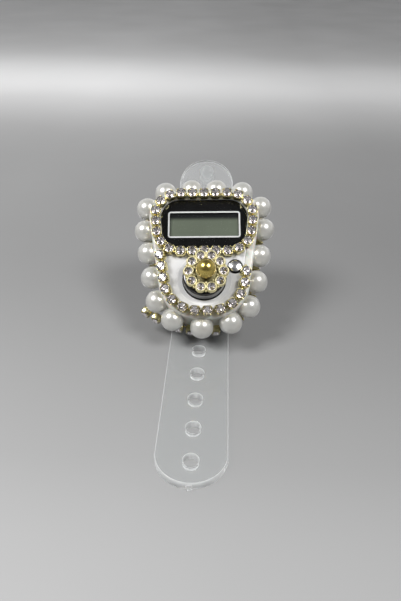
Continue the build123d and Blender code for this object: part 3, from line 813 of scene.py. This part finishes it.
# Length and bend radius of each stretch past the level run: up, straight, over to the case's lean, along it.
strap_path = (
    (strap_bend * math.pi / 2, strap_bend),
    (3.2 * mm, None),
    (strap_bend * (math.pi / 2 - lean), -strap_bend),
    (25.15 * mm, None),
)
strap_back_end = strap_run_end + sum(length for length, radius in strap_path)


def lay_strap(point):
    """Moves a point of the flat strap to where the bowed strap holds it."""
    y = min(point.y, strap_run_end)
    z = strap_thickness / 2
    left = point.y - y
    above = point.z - z
    heading = 0.0
    for length, radius in strap_path:
        along = min(left, length)
        left -= along
        if radius is None:
            y += along * math.cos(heading)
            z += along * math.sin(heading)
        else:
            turned = heading + along / radius
            y += radius * (math.sin(turned) - math.sin(heading))
            z += radius * (math.cos(heading) - math.cos(turned))
            heading = turned
    return Vector((point.x, y - above * math.sin(heading), z + above * math.cos(heading)))


def apply_boolean(piece, mesh, operation):
    """Cuts a bmesh from a piece or joins it, and keeps the result as the piece's own mesh."""
    other = new_object(mesh, "boolean_form")
    change = piece.modifiers.new("change", "BOOLEAN")
    change.object = other
    change.operation = operation
    change.solver = "EXACT"
    shaped = bpy.data.meshes.new_from_object(piece.evaluated_get(bpy.context.evaluated_depsgraph_get()))
    piece.modifiers.remove(change)
    piece.data = shaped
    bpy.data.objects.remove(other)


def slice_across(mesh, start, stop):
    """Cuts a strap across at even steps, so that it can bend there."""
    level = start
    while level < stop:
        parts = mesh.verts[:] + mesh.edges[:] + mesh.faces[:]
        bmesh.ops.bisect_plane(mesh, geom=parts, dist=merge_distance, plane_co=(0.0, level, 0.0),
                               plane_no=(0.0, 1.0, 0.0))
        level += bend_step


def flat_strap(width, tip, end):
    """The strap as it is moulded: flat, with round ends, holes and a tip nub."""
    panel = rounded_panel((0.0, (tip + end) / 2, 0.0), width, end - tip, width / 2 * end_roundness, 20)
    raise_faces(panel, strap_thickness)
    strap = new_object(panel, "clear_strap")
    cutters = bmesh.new()
    for place in hole_places:
        upright = Matrix.Translation((0.0, place, strap_thickness / 2))
        bmesh.ops.create_cone(cutters, cap_ends=True, segments=40, radius1=hole_radius, radius2=hole_radius,
                              depth=3.0 * strap_thickness, matrix=upright)
    apply_boolean(strap, cutters, "DIFFERENCE")
    nub = bmesh.new()
    box_form(nub, (nub_width, 2.0 * nub_length, strap_thickness / 2),
             Matrix.Translation((0.0, tip, strap_thickness / 2)), nub_edge)
    apply_boolean(strap, nub, "UNION")
    return strap


def build_strap(forms):
    """One soft strap, laid on the floor and bowed up the back of the case."""
    low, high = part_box("strap_tail")
    width = high.x - low.x
    strap = flat_strap(width, low.y + nub_length, strap_back_end)
    mesh = merged_copy(strap.data)
    crisp = [edge for edge in sharp_edges(mesh) if edge.calc_length() > shortest_edge
             and abs(edge.verts[0].co.z - edge.verts[1].co.z) < level_edge]
    bevel(mesh, crisp, forms.strap_edge, 3)
    slice_across(mesh, strap_run_end, strap_back_end - width / 2)
    slice_across(mesh, strap_hinge - 1.5 * flex_half, strap_hinge + 1.5 * flex_half)
    bmesh.ops.triangulate(mesh, faces=[face for face in mesh.faces if len(face.verts) > 4])
    mesh.normal_update()
    low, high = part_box("strap_keeper")
    rise = Vector((0.0, math.cos(lean), math.sin(lean)))
    past_keeper = (lay_strap(Vector((0.0, strap_back_end, 0.0))) - (low + high) / 2).dot(rise)
    for face in mesh.faces:
        if abs(face.normal.z) < side_slope:
            face.material_index = strap_finishes.index("frosted_vinyl")
        elif face.calc_center_median().y > strap_back_end - past_keeper:
            face.material_index = strap_finishes.index("hazy_vinyl")
    for vertex in mesh.verts:
        vertex.co = lay_strap(vertex.co)
    strap.data.materials.clear()
    for name in strap_finishes:
        strap.data.materials.append(vinyl(name))
    mesh.to_mesh(strap.data)
    mesh.free()
    smooth_but(strap, 40.0)
    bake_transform(strap)
    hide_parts("strap_band", "strap_tail")


# Operators

class COUNTER_OT_case(bpy.types.Operator):
    """Finish the moulded case, its cover, door, keeper and screws"""
    bl_idname = "counter.case"
    bl_label = "Case"

    def execute(self, context):
        dress(white_face(), "front_case")
        dress(listed("white_plastic"), "back_cover", "battery_door", "strap_keeper")
        dress(listed("screw_steel"), "case_screws", "battery_door_screw", "keeper_screws", "board_screws")
        return {"FINISHED"}


class COUNTER_OT_insides(bpy.types.Operator):
    """Finish the board, its chip, domes and parts, the battery and its contacts"""
    bl_idname = "counter.insides"
    bl_label = "Insides"

    def execute(self, context):
        dress(tracked_board(), "circuit_board")
        dress(listed("poured_resin"), "chip_cap")
        self.snap_dome("count_dome", "count_press", 0.2)
        self.snap_dome("reset_dome", "reset_press", 0.4)
        dress(brushed_cell_can(), "battery_cell")
        dress(listed("spring_contact"), "board_components", "battery_minus_contact", "battery_plus_contact")
        dress(listed("striped_rubber"), "display_connector")
        return {"FINISHED"}

    def snap_dome(self, node, joint, keep):
        """A springy dome, as a smooth-shaded copy of its CAD node."""
        dome = make_piece(merged_copy(cad_nodes[node].data), node + "_spring", ROOT,
                          [listed("screw_steel")], [node], sharp=40.0)
        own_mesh(dome)


class COUNTER_OT_display(bpy.types.Operator):
    """Build the bevelled lens and the printed window line, and finish the display under them"""
    bl_idname = "counter.display"
    bl_label = "Display"
    window_reach = (9.6 * mm, 4.0 * mm)
    lens_lift = 0.05 * mm
    lens_side_slope = 0.8
    line_reach = 2.2
    line_corner = 0.75 * mm
    line_lift = 0.012 * mm
    line_thickness = 0.015 * mm

    def execute(self, context):
        forms = context.scene.counter_forms
        least, most = self.window_box()
        dress(listed("mask_black"), "lens_mask")
        dress(display_grey(most.y), "lcd_front_glass")
        dress(listed("display_rear"), "lcd_rear_glass")
        self.build_lens(forms)
        self.build_window_line(forms, least, most)
        return {"FINISHED"}

    def build_lens(self, forms):
        """The clear lens, with a rounded rim, black sides and a hair of room over its printed mask."""
        mesh = merged_copy(cad_nodes["display_lens"].data)
        bmesh.ops.transform(mesh, matrix=case_turn.inverted(), verts=mesh.verts)
        bmesh.ops.dissolve_limit(mesh, angle_limit=math.radians(1.0), verts=mesh.verts, edges=mesh.edges)
        low, high = case_box("display_lens")
        middle = (low.z + high.z) / 2
        bottom = [vertex for vertex in mesh.verts if vertex.co.z < middle]
        bmesh.ops.translate(mesh, verts=bottom, vec=(0.0, 0.0, self.lens_lift))
        bevel(mesh, [edge for edge in mesh.edges if min(end.co.z for end in edge.verts) > middle],
              forms.lens_edge, 3)
        mesh.normal_update()
        for face in mesh.faces:
            face.material_index = int(abs(face.normal.z) < self.lens_side_slope)
        bmesh.ops.transform(mesh, matrix=case_turn, verts=mesh.verts)
        make_piece(mesh, "display_lens_clear", ROOT, [lens_glass(), listed("mask_black")],
                   ["display_lens"], sharp=50.0)

    def build_window_line(self, forms, least, most):
        """A printed white line round the display window, lying on the mask."""
        centre = (least + most) / 2
        centre.z = case_box("lens_mask")[1].z + self.line_lift
        size = most - least + Vector((1.0, 1.0, 0.0)) * self.line_reach * forms.line_width
        mesh = rounded_panel(centre, size.x, size.y, self.line_corner, 6)
        inner = mesh.faces[:]
        bmesh.ops.inset_region(mesh, faces=inner, thickness=forms.line_width, use_even_offset=True,
                               use_boundary=True)
        bmesh.ops.delete(mesh, geom=inner, context="FACES")
        raise_faces(mesh, self.line_thickness)
        bmesh.ops.transform(mesh, matrix=case_turn, verts=mesh.verts)
        make_piece(mesh, "window_line", ROOT, [listed("print_white")])

    def window_box(self):
        """Corners of the mask's window, in the case's axes."""
        points = case_points("lens_mask")
        low, high = box_of(points)
        middle = (low + high) / 2
        across, along = self.window_reach
        return box_of([point for point in points
                       if abs(point.x - middle.x) < across and abs(point.y - middle.y) < along])


class COUNTER_OT_buttons(bpy.types.Operator):
    """Finish the count and reset buttons"""
    bl_idname = "counter.buttons"
    bl_label = "Buttons"

    def execute(self, context):
        dress(listed("dark_chrome"), "count_button")
        dress(reset_chrome(), "reset_button")
        return {"FINISHED"}


class COUNTER_OT_pearls(bpy.types.Operator):
    """Build the drilled pearl beads round the rim and finish their glue"""
    bl_idname = "counter.pearls"
    bl_label = "Pearls"
    hole_dip = 0.12 * mm

    def execute(self, context):
        pearls = solids_of("rim_pearls")
        centres = [Vector((points.min(0) + points.max(0)) / 2) for points in pearls]
        bead = self.bead_template(float(np.ptp(pearls[0], axis=0).max()) / 2, context.scene.counter_forms)
        mesh = bmesh.new()
        for centre in centres:
            near = sorted(centres, key=lambda other: (other - centre).length)
            string = (near[1] - near[2]).normalized()
            string = (string - face_normal * string.dot(face_normal)).normalized()
            add_copy(mesh, bead, axes_at(centre, face_normal, string))
        make_piece(mesh, "drilled_pearls", ROOT, [pearl_coat()], ["rim_pearls"], sharp=50.0)
        dress(listed("dried_glue"), "pearl_glue")
        return {"FINISHED"}

    def bead_template(self, radius, forms):
        """A round bead with a drilled hole along Z."""
        mesh = bmesh.new()
        bmesh.ops.create_uvsphere(mesh, u_segments=32, v_segments=20, radius=radius)
        poles = [vertex for vertex in mesh.verts if abs(vertex.co.z) > radius * 0.999]
        bmesh.ops.delete(mesh, geom=poles, context="VERTS")
        loops = []
        for side in (1.0, -1.0):
            edges = [edge for edge in mesh.edges if edge.is_boundary and edge.verts[0].co.z * side > 0]
            made = bmesh.ops.extrude_edge_only(mesh, edges=edges)["geom"]
            verts = [item for item in made if isinstance(item, bmesh.types.BMVert)]
            shrink = forms.bead_hole / math.hypot(verts[0].co.x, verts[0].co.y)
            bmesh.ops.scale(mesh, verts=verts, vec=(shrink, shrink, 1.0))
            bmesh.ops.translate(mesh, verts=verts, vec=(0.0, 0.0, -self.hole_dip * side))
            loops += [item for item in made if isinstance(item, bmesh.types.BMEdge) and item.is_boundary]
        bmesh.ops.bridge_loops(mesh, edges=loops)
        bmesh.ops.recalc_face_normals(mesh, faces=mesh.faces)
        return to_mesh(mesh, "bead")


class COUNTER_OT_chains(bpy.types.Operator):
    """Build the cup chains round the screen, the dial and the side wall"""
    bl_idname = "counter.chains"
    bl_label = "Cup chains"

    def execute(self, context):
        for name in ("screen_chain", "dial_chain", "side_chain"):
            build_chain(name, context.scene.counter_forms)
        return {"FINISHED"}


class COUNTER_OT_flower(bpy.types.Operator):
    """Build the flower setting on the count button, its stones and its gold bead"""
    bl_idname = "counter.flower"
    bl_label = "Flower"

    # Distance from the ring of stones, level and radius of the grains inside and outside it
    grains = ((-1.35 * mm, 1.2 * mm, 0.34 * mm), (0.75 * mm, 0.9 * mm, 0.3 * mm))

    def execute(self, context):
        low, high = case_box("flower_setting")
        foot = case_turn @ Vector(((low.x + high.x) / 2, (low.y + high.y) / 2, low.z))
        place = Matrix.Translation(foot) @ case_turn
        solids = solids_of("flower_stones")
        middles = [Vector(points.mean(0)) for points in solids]
        radius = radius_about(solids[0], solids[0].mean(0), face_normal)
        gems = bmesh.new()
        stone = stone_template()
        metal = bmesh.new()
        self.build_plate(metal, place, (high.x - low.x) / 2)
        # The plate takes the second finish: gold darkened as painted shade behind the stones and the bead.
        for face in metal.faces:
            face.material_index = 1
        for middle, points in zip(middles, solids):
            crown = float((points @ np.array(face_normal)).max())
            girdle = middle + face_normal * (crown - crown_share * radius - middle.dot(face_normal))
            add_copy(gems, stone, Matrix.Translation(girdle) @ case_turn @ Matrix.Scale(radius, 4))
            foot_here = middle - face_normal * (middle - foot).dot(face_normal)
            self.build_bezel(metal, Matrix.Translation(foot_here) @ case_turn, radius)
        self.add_grains(metal, place, [(place.inverted() @ middle).xy for middle in middles])
        make_piece(metal, "flower_mount", COUNT_KEY, [pale_gold(), listed("aged_gold")],
                   ["flower_setting"], sharp=40.0)
        make_piece(gems, "flower_cut_stones", COUNT_KEY, [stone_crown(), listed("stone_foil")],
                   ["flower_stones"])
        dress(listed("gold_bead_coat"), "flower_pearl")
        return {"FINISHED"}

    def build_plate(self, mesh, place, reach):
        """The back plate and the ring that seats the bead."""
        wide = reach / mm - 1.2
        lathe(mesh, ((0.0, 0.0), (wide - 0.1, 0.0), (wide, 0.15), (wide - 0.05, 0.5), (wide - 0.3, 0.6),
                     (0.0, 0.6)), place, 48)
        lathe(mesh, ((1.2, 0.5), (1.8, 0.5), (1.88, 0.7), (1.8, 0.95), (1.62, 1.0), (1.45, 0.9), (1.2, 0.75),
                     (1.2, 0.5)), place, 40)

    def build_bezel(self, mesh, place, radius):
        """A round collet with a rolled rim that holds one stone."""
        inner = radius / mm
        wall = inner + 0.4
        lathe(mesh, ((0.0, 0.4), (wall - 0.1, 0.4), (wall, 0.7), (wall, 1.25), (wall - 0.06, 1.5),
                     (wall - 0.2, 1.62), (wall - 0.36, 1.6), (inner - 0.06, 1.45), (inner - 0.1, 0.8),
                     (0.0, 0.7)), place, 28)

    def add_grains(self, mesh, place, spots):
        """Little grains of metal between the stones, inside and outside their ring."""
        ring = sum(spot.length for spot in spots) / len(spots)
        start = min(spot.angle_signed(Vector((1.0, 0.0))) for spot in spots)
        for index in range(len(spots)):
            turn = Matrix.Rotation(start + (index + 0.5) * 2.0 * math.pi / len(spots), 4, "Z")
            for offset, level, radius in self.grains:
                grain = place @ turn @ Matrix.Translation((ring + offset, 0.0, level))
                bmesh.ops.create_icosphere(mesh, subdivisions=2, radius=radius, matrix=grain)


class COUNTER_OT_strap(bpy.types.Operator):
    """Build the clear strap and finish its stud"""
    bl_idname = "counter.strap"
    bl_label = "Strap"

    def execute(self, context):
        build_strap(context.scene.counter_forms)
        dress(vinyl("soft_stud"), "strap_stud")
        return {"FINISHED"}


class COUNTER_OT_stage(bpy.types.Operator):
    """Set up the floor, the soft lights and the camera"""
    bl_idname = "counter.stage"
    bl_label = "Stage"
    floor_radius = 3.0
    floor_gap = 0.05 * mm
    light_aim = Vector((0.0, 10.0 * mm, 15.0 * mm))

    # Direction and share of the power of each softbox
    softboxes = {"softbox_left": ((-0.55, -0.27, 0.78), 1.0), "softbox_right": ((0.47, -0.35, 0.81), 0.8)}

    def execute(self, context):
        settings = context.scene.counter_stage
        mesh = bmesh.new()
        bmesh.ops.create_circle(mesh, cap_ends=True, radius=self.floor_radius, segments=96,
                                matrix=Matrix.Translation((0.0, 0.0, -self.floor_gap)))
        floor = new_object(mesh, "studio_floor")
        floor.data.materials.append(floor_paint())
        for name, (direction, share) in self.softboxes.items():
            self.add_softbox(name, Vector(direction), share, settings)
        self.add_room(context.scene, settings)
        context.scene.view_settings.view_transform = "Standard"
        self.add_camera(settings)
        return {"FINISHED"}

    def add_room(self, scene, settings):
        """Even room light, dark overhead and in front, paler behind and near the horizon."""
        world = bpy.data.worlds.new("soft_room")
        world.use_nodes = True
        tree = world.node_tree
        axes = axes_of(tree, add_node(tree, "TexCoord").outputs["Generated"])
        height = ranged(tree, axes["Z"], From_Min=-1.0)
        strength = ranged(tree, axes["Y"], From_Min=-0.9, From_Max=0.6,
                          To_Min=0.2 * settings.world_strength, To_Max=1.2 * settings.world_strength)
        set_inputs(tree.nodes["Background"], {
            "Color": graded(tree, height, room_grade, "EASE", blue=1.01),
            "Strength": strength,
        })
        scene.world = world
        scene.cycles.caustics_refractive = False

    def add_softbox(self, name, direction, share, settings):
        light = bpy.data.lights.new(name, "AREA")
        light.shape = "SQUARE"
        light.size = settings.light_width
        light.energy = share * settings.light_power
        softbox = add_object(name, light)
        softbox.location = self.light_aim + direction * settings.light_distance
        softbox.rotation_euler = direction.to_track_quat("Z", "Y").to_euler()

    def add_camera(self, settings):
        view = bpy.data.cameras.new("photo_view")
        view.sensor_fit = "AUTO"
        view.sensor_width = 36.0
        view.lens = settings.camera_lens
        view.clip_start = 0.005
        camera = add_object("photo_view", view)
        turn = Matrix.Rotation(settings.camera_yaw, 4, "Z")
        turn = turn @ Matrix.Rotation(math.pi / 2 - settings.camera_pitch, 4, "X")
        turn = turn @ Matrix.Rotation(settings.camera_roll, 4, "Z")
        camera.matrix_world = Matrix.Translation(settings.camera_place) @ turn
        bpy.context.scene.camera = camera


class COUNTER_PT_panel(bpy.types.Panel):
    """Shows the counter's steps and settings"""
    bl_idname = "COUNTER_PT_panel"
    bl_label = "Counter"
    bl_space_type = "VIEW_3D"
    bl_region_type = "UI"
    bl_category = "Counter"

    def draw(self, context):
        for operator in operators:
            self.layout.operator(operator.bl_idname)
        for group in setting_groups.values():
            settings = getattr(context.scene, group)
            for name in settings.bl_rna.properties.keys():
                if name not in ("rna_type", "name"):
                    self.layout.prop(settings, name)


operators = (
    COUNTER_OT_case,
    COUNTER_OT_insides,
    COUNTER_OT_display,
    COUNTER_OT_buttons,
    COUNTER_OT_pearls,
    COUNTER_OT_chains,
    COUNTER_OT_flower,
    COUNTER_OT_strap,
    COUNTER_OT_stage,
)
setting_groups = {
    CounterFinishes: "counter_finishes",
    CounterForms: "counter_forms",
    CounterStage: "counter_stage",
}


def register():
    for group, name in setting_groups.items():
        bpy.utils.register_class(group)
        setattr(bpy.types.Scene, name, PointerProperty(type=group))
    for made in (*operators, COUNTER_PT_panel):
        bpy.utils.register_class(made)


def unregister():
    for made in (COUNTER_PT_panel, *reversed(operators)):
        bpy.utils.unregister_class(made)
    for group, name in setting_groups.items():
        delattr(bpy.types.Scene, name)
        bpy.utils.unregister_class(group)


def main():
    register()
    bpy.ops.counter.case()
    bpy.ops.counter.insides()
    bpy.ops.counter.display()
    bpy.ops.counter.buttons()
    bpy.ops.counter.pearls()
    bpy.ops.counter.chains()
    bpy.ops.counter.flower()
    bpy.ops.counter.strap()
    bpy.ops.counter.stage()


if __name__ == "__main__":
    main()
